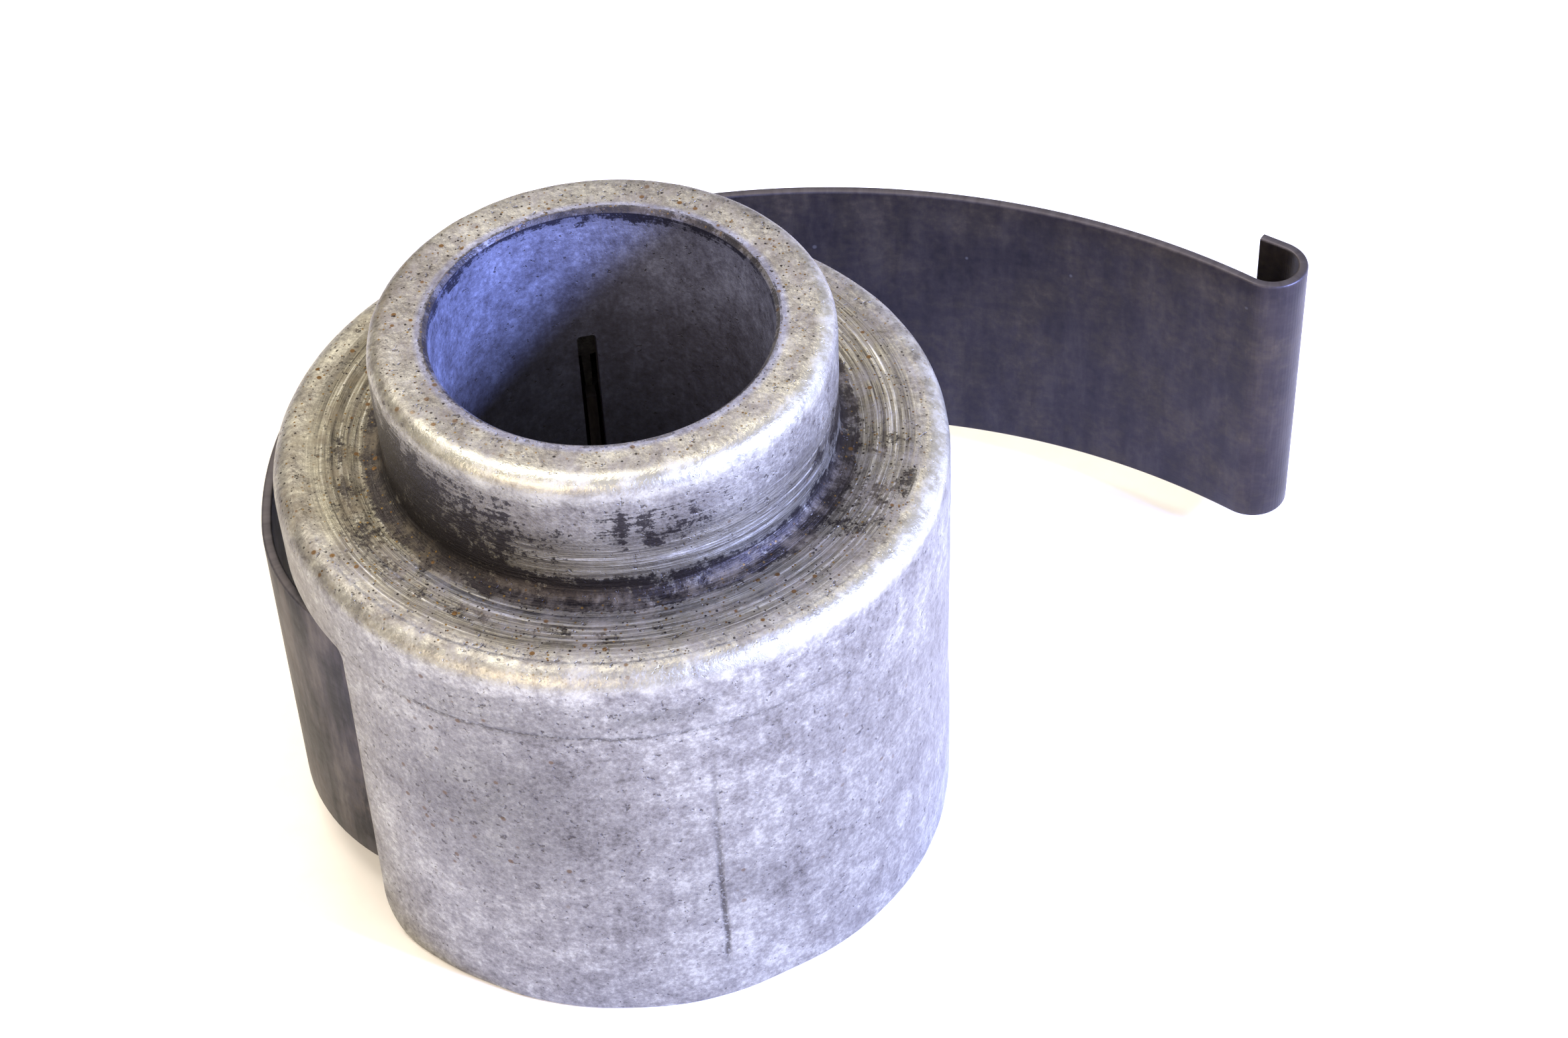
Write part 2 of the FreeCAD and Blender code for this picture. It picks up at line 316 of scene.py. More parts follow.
for vert in upper.verts:
    x, y, z = vert.co
    radius = math.hypot(x, y)
    outward = Vector((x / radius, y / radius, 0))
    angle = math.degrees(math.atan2(y, x))
    if radius > 23.9:
        broad = noise.noise(vert.co * 0.07 + Vector((3, 1, 4)))
        small = noise.noise(vert.co * 0.35)
        at_foot = smooth_step(6 - z, 0, 6)
        flat = 0.22 * math.exp(-((angle + 67) / 9) ** 2) * smooth_step(14 - z, 0, 14)
        vert.co += outward * (0.16 * broad + 0.03 * small - flat
                              + 0.10 * at_foot * noise.noise(outward * 5))
        nick = math.exp(-((angle + 76.5) / 2.0) ** 2 - ((z - 33.6) / 0.5) ** 2)
        rubbed = smooth_step(9 - abs(angle + 86), 0, 3) * smooth_step(
            0.9 - abs(z - 33.2), 0, 0.4)
        vert.co -= outward * (0.16 * nick + 0.05 * rubbed)
    if z > shoulder_height - 0.4 and 17.4 < radius < rim_radius + 0.3 and z < 38.2:
        vert.co.z -= ring_depth(radius, angle) * smooth_step(shoulder_height + 0.25 - z, 0, 0.2)
        vert.co.z += 0.04 * noise.noise(vert.co * 0.15)
    if z > 44 and radius > 12.9:
        vert.co.z += 0.03 * noise.noise(vert.co * 0.5)
    if 38.0 < z < 47.6 and 16 < radius < 17.2:
        worn = smooth_step(42.8 - z, -0.4, 0.6)
        vert.co += outward * (0.05 * noise.noise(vert.co * 0.3) - 0.07 * worn)
    if radius < 15 and z > 0.5 and radius > 14:
        vert.co += outward * 0.02 * noise.noise(vert.co * 0.3)
bmesh.ops.scale(upper, verts=upper.verts, vec=(MM, MM, MM))
casting_mesh = bpy.data.meshes.new("hub_casting_worn")
upper.to_mesh(casting_mesh)
upper.free()
casting = bpy.data.objects.new("hub_casting_worn", casting_mesh)
bpy.context.scene.collection.objects.link(casting)
print("casting spans", [round(size / MM, 2) for size in casting.dimensions])

# %% [markdown]
# The strip's inner tab sits in a slot of the inner tube. The slot is a plain cut, so a Boolean
# with a thin block makes it, and the block is thrown away.

# %% Cut the tab's slot
SLOT_ANGLE = 95.6
SLOT_BLOCK = (2.8, 1.5, 36.8)     # through the wall, slot width, height
SLOT_BLOCK_PLACE = (12.9, 0, 17.4)
cutter = bmesh.new()
bmesh.ops.create_cube(cutter, size=1)
bmesh.ops.scale(cutter, verts=cutter.verts, vec=SLOT_BLOCK)
top_sides = [edge for edge in cutter.edges if edge.verts[0].co.z > 0
             and abs(edge.verts[0].co.z - edge.verts[1].co.z) < 0.1
             and abs(edge.verts[0].co.y - edge.verts[1].co.y) < 0.1]
bmesh.ops.bevel(cutter, geom=top_sides, offset=0.3, segments=3, profile=0.5, affect="EDGES",
                material=-1)
bmesh.ops.translate(cutter, verts=cutter.verts, vec=SLOT_BLOCK_PLACE)
bmesh.ops.rotate(cutter, verts=cutter.verts, cent=(0, 0, 0),
                 matrix=Matrix.Rotation(math.radians(SLOT_ANGLE), 3, "Z"))
bmesh.ops.scale(cutter, verts=cutter.verts, vec=(MM, MM, MM))
cutter_mesh = bpy.data.meshes.new("slot_block")
cutter.to_mesh(cutter_mesh)
cutter.free()
block = bpy.data.objects.new("slot_block", cutter_mesh)
bpy.context.scene.collection.objects.link(block)
cut = casting.modifiers.new("slot", "BOOLEAN")
cut.operation, cut.solver, cut.object = "DIFFERENCE", "EXACT", block
bpy.context.view_layer.update()
evaluated = casting.evaluated_get(bpy.context.evaluated_depsgraph_get())
slotted = bpy.data.meshes.new_from_object(evaluated)
casting.modifiers.clear()
casting.data = slotted
bpy.data.objects.remove(block)
print("slotted casting: %d faces" % len(slotted.polygons))

# %% Shade it smooth, with its real corners kept sharp
for polygon in slotted.polygons:
    polygon.use_smooth = True
slotted.set_sharp_from_angle(angle=math.radians(38))
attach(casting, "hub")
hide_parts("hub_casting")

# %% [markdown]
# ## The strip outside the hub
# The strip is one band of constant section, so its rounded section is drawn once, and then
# spun round the centre of each bend in turn. It bends over many short links in the model, so it
# is made as one piece per bend, each from the middle of one link to the middle of the next.

# %% Follow the strip's middle line
ARCS = [(16.4, 60.0, 2), (32.1, 77.5, 4), (57.2, 59.5, 5)]   # radius, sweep, links
HOOK_RADIUS, HOOK_SWEEP, HOOK_LEG = 2.6, 185.0, 2.2
run_heading = math.degrees(math.atan2(hinges[1].y - hinges[0].y,
                                      hinges[1].x - hinges[0].x)) + ARCS[0][1] / 4
RUN_LENGTH = 10.0
STRIP_EDGE_ROUND = 0.17


def on_plan(angle, length=1.0):
    return Vector((math.cos(math.radians(angle)), math.sin(math.radians(angle)), 0)) * length


# A stretch: kind, start point, heading, radius (clockwise if positive), and sweep or length.
stretches = []
place, heading = hinges[0].copy(), run_heading
place.z = 0
half_run = RUN_LENGTH / 2
stretches.append(("run", place - on_plan(heading, half_run), heading, 0, half_run))
stretches.insert(0, ("run", place - on_plan(heading, RUN_LENGTH), heading, 0, half_run))
for radius, sweep, links in ARCS:
    for _ in range(links * 2):
        turn = sweep / links / 2
        stretches.append(("arc", place.copy(), heading, radius, turn))
        centre = place + on_plan(heading - 90, radius)
        place = centre + on_plan(heading + 90 - turn, radius)
        heading -= turn
arm_end, arm_heading = place.copy(), heading
print("arm ends at", [round(value, 2) for value in arm_end], "heading %.1f" % arm_heading)


# %% A band along a list of stretches
def strip_band(along):
    """One closed piece of strip: its rounded section carried along straight and curved runs."""
    bm = bmesh.new()
    half, low, high = STRIP_THICKNESS / 2, strip_foot, strip_top
    start, heading = along[0][1], along[0][2]
    across = on_plan(heading + 90)
    ring = [start + across * side + Vector((0, 0, height))
            for side, height in ((half, low), (half, high), (-half, high), (-half, low))]
    verts = [bm.verts.new(point) for point in ring]
    bm.faces.new(verts)
    bmesh.ops.bevel(bm, geom=verts, offset=STRIP_EDGE_ROUND, offset_type="OFFSET", segments=3,
                    profile=0.5, affect="VERTICES", material=-1)
    sides = [edge for edge in bm.edges if edge.calc_length() > 10]
    bmesh.ops.subdivide_edges(bm, edges=sides, cuts=11)
    geom = bm.verts[:] + bm.edges[:] + bm.faces[:]
    for kind, point, heading, radius, amount in along:
        if kind == "run":
            steps, shift = max(1, round(amount / 1.2)), on_plan(heading, amount)
            for _ in range(steps):
                geom = advance(bm, geom, shift / steps, None)
        else:
            centre = point + on_plan(heading - 90 * (1 if radius > 0 else -1), abs(radius))
            steps = max(2, round(abs(radius) * math.radians(amount) / 0.9))
            if abs(radius) < 5:
                steps = round(amount / 6)
            turn = -math.radians(amount) / steps * (1 if radius > 0 else -1)
            for _ in range(steps):
                geom = advance(bm, geom, centre, turn)
    bmesh.ops.remove_doubles(bm, verts=bm.verts, dist=1e-4)
    bmesh.ops.recalc_face_normals(bm, faces=bm.faces)
    return bm


def advance(bm, geom, where, turn):
    """Extrudes the end section by one step: a shift, or a small turn round a centre."""
    faces = [part for part in geom if isinstance(part, bmesh.types.BMFace)]
    made = bmesh.ops.extrude_face_region(bm, geom=faces)["geom"]
    verts = [part for part in made if isinstance(part, bmesh.types.BMVert)]
    if turn is None:
        bmesh.ops.translate(bm, verts=verts, vec=where)
    else:
        bmesh.ops.rotate(bm, verts=verts, cent=where, matrix=Matrix.Rotation(turn, 3, "Z"))
    return made


# %% Measure how far along the strip each point lies
def line_points():
    """The middle line's points with their distance from its start, in millimetres."""
    points, distance = [], 0.0
    for kind, point, heading, radius, amount in stretches + hook_stretches:
        count = 24
        length = amount if kind == "run" else abs(radius) * math.radians(amount)
        for index in range(count):
            share = index / count
            if kind == "run":
                here = point + on_plan(heading, amount * share)
            else:
                side = 1 if radius > 0 else -1
                centre = point + on_plan(heading - 90 * side, abs(radius))
                here = centre + on_plan(heading + (90 - amount * share) * side, abs(radius))
            points.append((here.x, here.y, distance + length * share))
        distance += length
    return np.array(points)


hook_centre = arm_end + on_plan(arm_heading + 90, HOOK_RADIUS)
leg_start = hook_centre + on_plan(arm_heading - 90 + HOOK_SWEEP, HOOK_RADIUS)
hook_stretches = [("arc", arm_end, arm_heading, -HOOK_RADIUS, HOOK_SWEEP),
                  ("run", leg_start, arm_heading + HOOK_SWEEP, 0, HOOK_LEG)]
middle_line = line_points()
strip_length = middle_line[-1, 2]
print("strip outside the coil is %.1f mm long" % strip_length)


def finish_band(name, bm):
    """Makes the mesh an object, and lays the strip out flat in its UV map, in millimetres."""
    bm.normal_update()
    flat = bm.loops.layers.uv.new("strip_flat")
    for face in bm.faces:
        face.smooth = True
        for loop in face.loops:
            x, y, z = loop.vert.co
            gap = (middle_line[:, 0] - x) ** 2 + (middle_line[:, 1] - y) ** 2
            loop[flat].uv = (middle_line[gap.argmin(), 2], z)
    bmesh.ops.scale(bm, verts=bm.verts, vec=(MM, MM, MM))
    mesh = bpy.data.meshes.new(name)
    bm.to_mesh(mesh)
    bm.free()
    mesh.set_sharp_from_angle(angle=math.radians(50))
    obj = bpy.data.objects.new(name, mesh)
    bpy.context.scene.collection.objects.link(obj)
    return obj


# %% Make the pieces, and tie the inner run to the hub and the hook to the last link
bands = []
inner_run = finish_band("strip_inner_run", strip_band(stretches[:1]))
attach(inner_run, "hub")
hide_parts("spring_exit")
bands.append(inner_run)
links = len(hinges)
for link in range(1, links + 1):
    first = 1 + 2 * (link - 1)
    pair = stretches[first:first + 2]
    name = "strip_bend_%02d" % link
    band = finish_band(name, strip_band(pair))
    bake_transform(band)
    if link > 1:
        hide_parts("spring_arm_%02d" % (link - 1))
    bands.append(band)
tail = stretches[1 + 2 * links:]
hook = finish_band("strip_hook", strip_band(tail + hook_stretches))
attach(hook, "arm_%02d" % links)
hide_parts("spring_arm_%02d" % links, "spring_hook")
bands.append(hook)
print("%d strip pieces" % len(bands))

# %% [markdown]
# ## One function for colours and one for nodes
# Colours are picked as the hex values that a screen shows, and Blender's shaders want linear
# light, so every colour goes through one function. Nodes are all added by one small helper.

# %% Helpers for the finishes
def linear(hex_colour):
    """A screen colour such as 8a8d92 as the linear RGBA that a shader wants."""
    parts = [int(hex_colour[i:i + 2], 16) / 255 for i in (0, 2, 4)]
    return [c / 12.92 if c <= 0.04045 else ((c + 0.055) / 1.055) ** 2.4 for c in parts] + [1]


def add(tree, kind, inputs=None, ramp=None, **settings):
    """Adds a node, sets it up, and links or sets each named or numbered input."""
    made = tree.nodes.new("ShaderNode" + kind)
    for name, value in settings.items():
        setattr(made, name, value)
    if ramp:
        while len(made.color_ramp.elements) < len(ramp):
            made.color_ramp.elements.new(0.5)
        for element, (position, colour) in zip(made.color_ramp.elements, ramp):
            element.position = position
            element.color = colour
    for key, value in (inputs or {}).items():
        if isinstance(value, bpy.types.NodeSocket):
            tree.links.new(value, made.inputs[key])
        else:
            made.inputs[key].default_value = value
    return made


def new_material(name):
    made = bpy.data.materials.new(name)
    made.use_nodes = True
    made.node_tree.nodes.clear()
    return made, made.node_tree


# %% [markdown]
# ## Finish of the casting: worn die-cast aluminium
# Fresh from the die it is a bright, slightly frosted grey. Years of handling leave it dull and
# mottled, with dark pits, brown dust in the hollows, black oily stains round the neck, and
# paler metal where edges rub. Where the stains and the rubbing lie is painted on the mesh as
# attributes, worked out from the place round the axis, and the patterns break them up. Painted
# light and shade ride in the same attributes: shade on the neck's left side and foot, the skirt's
# right side, the bore's depths and the chamber, a blue reflection in the bore, and highlights on
# the front and window side of the edges.

# %% Paint where the casting is rubbed, stained and turned, and where shade and highlight are painted
def spot(angle, z, at_angle, at_z, wide, tall):
    """A soft spot on a round wall: 1 at its middle, fading over its half sizes."""
    off = (angle - at_angle + 180) % 360 - 180
    return math.exp(-(off / wide) ** 2 - ((z - at_z) / tall) ** 2)


# Each mark: strength, angle, height (or radius on the shoulder), and its two half sizes.
# The neck marks at -163 and -158 degrees paint shade on its left side as well as stains.
NECK_STAINS_AND_SHADE = [(1.25, -163, 40.2, 40, 4.6), (0.42, -158, 45, 44, 3), (0.62, -81, 42.5, 12, 1.3),
               (0.75, -90, 43.9, 1.4, 2.4), (0.3, -75, 44.5, 30, 1.5), (0.9, -14, 40.6, 17, 2.0),
               (0.35, -118, 42, 14, 2)]
SHOULDER_STAINS = [(0.55, -22, 22.4, 14, 0.8), (0.6, -160, 20.0, 34, 1.8),
                   (0.6, 155, 22.2, 9, 0.6), (0.3, -100, 20.6, 40, 1.0)]
# The first skirt mark, at -48 degrees, is painted shade on the window side; the rest are dull
# patches.
SKIRT_DULL_AND_SHADE = [(0.28, -48, 20, 26, 18), (0.85, -116, 22, 20, 9), (0.35, -78, 13, 9, 3),
              (0.3, 150, 15, 50, 9)]
SHOULDER_RUB = [(0.5, -176, 21.9, 30, 1.5)]
NECK_DULL = [(0.45, -45, 43, 32, 4)]


def marks_at(table, angle, place):
    """The summed strength of a table of marks at one place."""
    return sum(strength * spot(angle, place, *middle_and_size)
               for strength, *middle_and_size in table)


def painted(x, y, z):
    """The seven marks at one point, in millimetres, in the order that MARKS names them."""
    radius, angle = math.hypot(x, y), math.degrees(math.atan2(y, x))
    front = spot(angle, 0, -112, 0, 45, 1)
    side = spot(angle, 0, -25, 0, 50, 1)
    rim_edge = smooth_step(radius, 22.0, 24.4) * smooth_step(z, 34.6, 36.6)
    neck_edge = math.exp(-((math.hypot(radius - 15.6, z - 46.7) - 1.3) / 0.5) ** 2
                         ) * smooth_step(radius, 15.0, 16.0) * smooth_step(z, 45.2, 46.6)
    # Rubbed edges, with a painted highlight added on the front and on the window side.
    rub_and_highlight = rim_edge * (0.12 + 0.5 * front + 0.85 * side)
    rub_and_highlight += neck_edge * (0.15 + 0.5 * front + 0.42 * side)
    if z > 47.5:
        rub_and_highlight += 0.35 * (front + side)
    stain_and_shade = turned = dulled_and_shaded = creased = 0.0
    if 18.6 < radius < 23.6 and 36.3 < z < 38.2:
        rub_and_highlight += marks_at(SHOULDER_RUB, angle, radius)
    if 16 < radius < 18.2 and 37 < z < 47:
        # Stains on the neck, with painted shade on its left side.
        stain_and_shade += marks_at(NECK_STAINS_AND_SHADE, angle, z)
        # Painted shade in the corner round the neck's foot.
        stain_and_shade += 1.1 * smooth_step(39.6 - z, 0, 1.2) * spot(angle, 0, -112, 0, 60, 1)
        stain_and_shade += 0.75 * smooth_step(38.6 - z, 0, 0.8)
        turned += smooth_step(44 - z, 0, 3) * 0.9
        dulled_and_shaded += marks_at(NECK_DULL, angle, z)
    if 16.9 < radius < 25 and 36.3 < z < 38.2:
        stain_and_shade += marks_at(SHOULDER_STAINS, angle, radius)
        # Painted shade on the shoulder, in the corner round the neck's foot.
        stain_and_shade += 0.95 * smooth_step(18.9 - radius, 0, 1.2)
        stain_and_shade += 0.45 * spot(angle, 0, -28, 0, 24, 1) * smooth_step(22.4 - radius, 0, 1.5)
        turned += smooth_step(23.2 - radius, 0, 1.6)
    if radius > 24.2 and z < 35:
        # Dull patches on the skirt, and painted shade on its right side.
        dulled_and_shaded = marks_at(SKIRT_DULL_AND_SHADE, angle, z)
        dulled_and_shaded += 0.35 * smooth_step(z, 30.4, 31.4) * spot(angle, 0, -118, 0, 30, 1)
        dulled_and_shaded += 0.55 * smooth_step(9 - abs(angle + 86), 0, 2) * smooth_step(
            0.9 - abs(z - 33.2), 0, 0.4)
        creased = math.exp(-((z - crease_height(angle) + 0.1) / 0.2) ** 2)
        creased *= spot(angle, 0, -108, 0, 34, 1) + 0.35
    if z > 47.4 and radius > 13.4:
        dulled_and_shaded = 0.5 * spot(angle, 0, 85, 0, 40, 1) + 0.45 * spot(angle, 0, -138, 0, 30, 1)
    # A ring of painted shade just inside the bore's mouth.
    if 12.4 < radius < 12.95 and z > 47.4:
        stain_and_shade += 0.8
    inside = 0.0
    if radius < 13.2 and z < 47.8:
        inside = 1.0
    elif radius < 13.4:
        inside = 0.55
    chamber = 1.0 if (14 < radius < 23.1 and z < 33.6) else 0.0
    return rub_and_highlight, stain_and_shade, turned, inside, chamber, dulled_and_shaded, creased


MARKS = ("rubbed", "stained_and_shaded", "turned", "bored", "chamber", "dulled_and_shaded", "creased")
values = np.array([painted(*(vert.co / MM)) for vert in slotted.vertices], np.float32)
for column, mark in enumerate(MARKS):
    layer = slotted.attributes.new(mark, "FLOAT", "POINT")
    layer.data.foreach_set("value", np.clip(values[:, column], 0, 1))
print("painted", {mark: round(float(values[:, i].max()), 2) for i, mark in enumerate(MARKS)})

# %% Worn die-cast aluminium
cast_metal, tree = new_material("worn_die_cast_aluminium")
place = add(tree, "TexCoord").outputs["Object"]
mm = add(tree, "VectorMath", {0: place, "Scale": 1 / MM}, operation="SCALE").outputs[0]
xyz = add(tree, "SeparateXYZ", {0: mm}).outputs
flat_xy = add(tree, "CombineXYZ", {"X": xyz["X"], "Y": xyz["Y"]}).outputs[0]
radius = add(tree, "VectorMath", {0: flat_xy}, operation="LENGTH").outputs["Value"]
outward = add(tree, "VectorMath", {0: flat_xy}, operation="NORMALIZE").outputs[0]
marks = {mark: add(tree, "Attribute", attribute_name=mark).outputs["Fac"] for mark in MARKS}
# Distance along the half section, so one pattern makes rings on flats and on walls.
section_place = add(tree, "Math", {0: radius, 1: xyz["Z"]}, operation="SUBTRACT").outputs[0]
across = add(tree, "Math", {0: section_place, 1: 4.2}, operation="MULTIPLY").outputs[0]
lift = add(tree, "CombineXYZ", {"Z": across}).outputs[0]
round_it = add(tree, "VectorMath", {0: outward, 1: (1.5, 1.5, 0)}, operation="MULTIPLY").outputs[0]
ring_place = add(tree, "VectorMath", {0: round_it, 1: lift}, operation="ADD").outputs[0]
rings = add(tree, "TexNoise", {"Vector": ring_place, "Scale": 1.0, "Detail": 4.0,
                               "Roughness": 0.7}).outputs[0]
# Scales are cells per millimetre: clouds of 9 mm, mottle of 1.8, fine of 0.43, grain of 0.31.
CLOUDS, MOTTLE, FINE, GRAIN = 0.11, 0.55, 2.3, 3.2
clouds = add(tree, "TexNoise", {"Vector": mm, "Scale": CLOUDS, "Detail": 3.0,
                                "Roughness": 0.6}).outputs[0]
mottle = add(tree, "TexNoise", {"Vector": mm, "Scale": MOTTLE, "Detail": 7.0,
                                "Roughness": 0.68, "Distortion": 0.3}).outputs[0]
grain = add(tree, "TexNoise", {"Vector": mm, "Scale": GRAIN, "Detail": 3.0,
                               "Roughness": 0.6}).outputs[0]
fine = add(tree, "TexNoise", {"Vector": mm, "Scale": FINE, "Detail": 8.0,
                              "Roughness": 0.78, "Lacunarity": 2.1}).outputs[0]
# Faint draw marks up the wall, as the casting left the die.
drawn = add(tree, "VectorMath", {0: outward, 1: (34, 34, 0)}, operation="MULTIPLY").outputs[0]
drawn = add(tree, "VectorMath", {0: drawn, 1: add(tree, "CombineXYZ", {"Z": add(
    tree, "Math", {0: xyz["Z"], 1: 0.06}, operation="MULTIPLY").outputs[0]}).outputs[0]},
            operation="ADD").outputs[0]
drawn = add(tree, "TexNoise", {"Vector": drawn, "Scale": 1.0, "Detail": 2.0}).outputs[0]
mixed = add(tree, "Mix", {0: 0.42, 2: mottle, 3: clouds}, data_type="FLOAT").outputs[0]
mixed = add(tree, "Mix", {0: 0.47, 2: mixed, 3: fine}, data_type="FLOAT").outputs[0]
mixed = add(tree, "Mix", {0: 0.06, 2: mixed, 3: drawn}, data_type="FLOAT").outputs[0]
base = add(tree, "ValToRGB", {0: mixed}, ramp=[
    (0.395, linear("56534e")), (0.455, linear("75726d")), (0.515, linear("8c8a83")),
    (0.60, linear("b4b3a8"))]).outputs[0]
# Duller areas, where the skin of the casting has gone grey; on the skirt's right side this
# darkening is painted shade against the window light.
dull_and_shade = add(tree, "Math", {0: mottle, 1: 2.4, 2: -0.55}, operation="MULTIPLY_ADD",
           use_clamp=True).outputs[0]
dull_and_shade = add(tree, "Math", {0: dull_and_shade, 1: marks["dulled_and_shaded"]}, operation="MULTIPLY",
           use_clamp=True).outputs[0]
base = add(tree, "Mix", {0: dull_and_shade, 6: base, 7: linear("9a9898")}, data_type="RGBA",
           blend_type="MULTIPLY").outputs[2]
# Turned rings: pale and dark lines about 0.4 mm apart.
ring_tone = add(tree, "ValToRGB", {0: rings}, ramp=[
    (0.36, linear("37332f")), (0.45, linear("5f5b50")), (0.52, linear("7e7a6b")),
    (0.58, linear("989689")), (0.66, linear("cecec9"))]).outputs[0]
ring_share = add(tree, "MapRange", {0: mottle, 1: 0.34, 2: 0.56, 3: 0.35, 4: 1.0},
                 clamp=True).outputs[0]
ring_share = add(tree, "Math", {0: ring_share, 1: marks["turned"]},
                 operation="MULTIPLY").outputs[0]
base = add(tree, "Mix", {0: ring_share, 6: base, 7: ring_tone},
           data_type="RGBA", blend_type="MIX").outputs[2]
# Black oily stains with ragged, streaked borders; the same mask paints shade on the neck's left
# side, round its foot and inside the bore's mouth.
ragged = add(tree, "Mix", {0: 0.35, 2: mottle, 3: rings}, data_type="FLOAT").outputs[0]
ragged = add(tree, "Mix", {0: 0.4, 2: ragged, 3: fine}, data_type="FLOAT").outputs[0]
ragged = add(tree, "Math", {0: ragged, 1: 0.5}, operation="SUBTRACT").outputs[0]
gate = add(tree, "MapRange", {0: marks["stained_and_shaded"], 1: 0.03, 2: 0.3, 4: 7.0}, clamp=True).outputs[0]
ragged = add(tree, "Math", {0: ragged, 1: gate, 2: marks["stained_and_shaded"]},
             operation="MULTIPLY_ADD").outputs[0]
stain_and_shade = add(tree, "MapRange", {0: ragged, 1: 0.42, 2: 0.7}, clamp=True).outputs[0]
stain_and_shade = add(tree, "Math", {0: stain_and_shade, 1: 0.95}, operation="MULTIPLY").outputs[0]
base = add(tree, "Mix", {0: stain_and_shade, 6: base, 7: linear("272326")}, data_type="RGBA").outputs[2]
# The crease under the rim, and a scored seam line down the skirt, both broken by noise.
broken = add(tree, "MapRange", {0: grain, 1: 0.42, 2: 0.56}, clamp=True).outputs[0]
crease = add(tree, "Math", {0: marks["creased"], 1: broken}, operation="MULTIPLY").outputs[0]
SEAM = math.radians(-78.7)
wobble = add(tree, "Math", {0: clouds, 1: 0.5}, operation="SUBTRACT").outputs[0]
off_seam = add(tree, "VectorMath", {0: mm, 1: (math.sin(SEAM), -math.cos(SEAM), 0)},
               operation="DOT_PRODUCT").outputs["Value"]
off_seam = add(tree, "Math", {0: wobble, 1: 0.9, 2: off_seam}, operation="MULTIPLY_ADD").outputs[0]
off_seam = add(tree, "Math", {0: off_seam}, operation="ABSOLUTE").outputs[0]
seam = add(tree, "MapRange", {0: off_seam, 1: 0.34, 2: 0.1}, clamp=True).outputs[0]
seam_low = add(tree, "MapRange", {0: xyz["Z"], 1: 4.2, 2: 5.4}, clamp=True).outputs[0]
seam_high = add(tree, "MapRange", {0: xyz["Z"], 1: 30.0, 2: 13.0}, clamp=True).outputs[0]
seam_side = add(tree, "VectorMath", {0: outward, 1: (math.cos(SEAM), math.sin(SEAM), 0)},
                operation="DOT_PRODUCT").outputs["Value"]
seam_side = add(tree, "Math", {0: seam_side, 1: 0.9}, operation="GREATER_THAN").outputs[0]
on_skirt = add(tree, "Math", {0: radius, 1: 24.2}, operation="GREATER_THAN").outputs[0]
for share in (seam_low, seam_high, seam_side, on_skirt,
              add(tree, "MapRange", {0: grain, 1: 0.36, 2: 0.5}, clamp=True).outputs[0]):
    seam = add(tree, "Math", {0: seam, 1: share}, operation="MULTIPLY").outputs[0]
line = add(tree, "Math", {0: crease, 1: seam}, operation="MAXIMUM").outputs[0]
line_tone = add(tree, "Math", {0: line, 1: 0.8}, operation="MULTIPLY").outputs[0]
base = add(tree, "Mix", {0: line_tone, 6: base, 7: linear("38332e")}, data_type="RGBA").outputs[2]
# Pits of 0.2 to 0.4 mm with dirt in them.
pit_noise = add(tree, "TexNoise", {"Vector": mm, "Scale": 1.7, "Detail": 2.0,
                                   "Roughness": 0.75}).outputs[0]
pit_noise = add(tree, "Math", {0: marks["dulled_and_shaded"], 1: 0.055, 2: pit_noise},
                operation="MULTIPLY_ADD").outputs[0]
pits = add(tree, "MapRange", {0: pit_noise, 1: 0.655, 2: 0.71}, clamp=True).outputs[0]
pits_share = add(tree, "Math", {0: pits, 1: 0.75}, operation="MULTIPLY").outputs[0]
base = add(tree, "Mix", {0: pits_share, 6: base, 7: linear("3a3533")},
           data_type="RGBA").outputs[2]
# Brown dust on whatever faces up.
normal_z = add(tree, "SeparateXYZ", {0: add(tree, "NewGeometry").outputs["Normal"]}).outputs["Z"]
facing_up = add(tree, "MapRange", {0: normal_z, 1: 0.25, 2: 0.8}, clamp=True).outputs[0]
dust_noise = add(tree, "TexNoise", {"Vector": mm, "Scale": 0.42, "Detail": 6.0,
                                    "Roughness": 0.75}).outputs[0]
dust = add(tree, "MapRange", {0: dust_noise, 1: 0.47, 2: 0.66}, clamp=True).outputs[0]
dust = add(tree, "Math", {0: dust, 1: facing_up}, operation="MULTIPLY").outputs[0]
dust = add(tree, "Math", {0: dust, 1: 0.55}, operation="MULTIPLY").outputs[0]
base = add(tree, "Mix", {0: dust, 6: base, 7: linear("756c5c")}, data_type="RGBA").outputs[2]
# Grains of rust and grit, 0.5 to 0.2 mm across: cells per mm, reach as a share of one cell.
for scale, reach, colour in ((0.75, 0.17, "5e4628"), (1.25, 0.15, "221d1b"), (1.6, 0.16, "523c22"),
                             (1.9, 0.2, "6b5630"), (2.3, 0.19, "2a2420")):
    cells = add(tree, "TexVoronoi", {"Vector": mm, "Scale": scale, "Randomness": 1.0})
    crumb = add(tree, "MapRange", {0: cells.outputs["Distance"], 1: reach, 2: reach * 0.7},
                clamp=True).outputs[0]
    chosen = add(tree, "SeparateColor", {0: cells.outputs["Color"]}).outputs[0]
    chosen = add(tree, "Math", {0: chosen, 1: 0.55}, operation="GREATER_THAN").outputs[0]
    crumb = add(tree, "Math", {0: crumb, 1: chosen}, operation="MULTIPLY").outputs[0]
    crumb = add(tree, "Math", {0: crumb, 1: facing_up}, operation="MULTIPLY").outputs[0]
    base = add(tree, "Mix", {0: crumb, 6: base, 7: linear(colour)},
               data_type="RGBA").outputs[2]
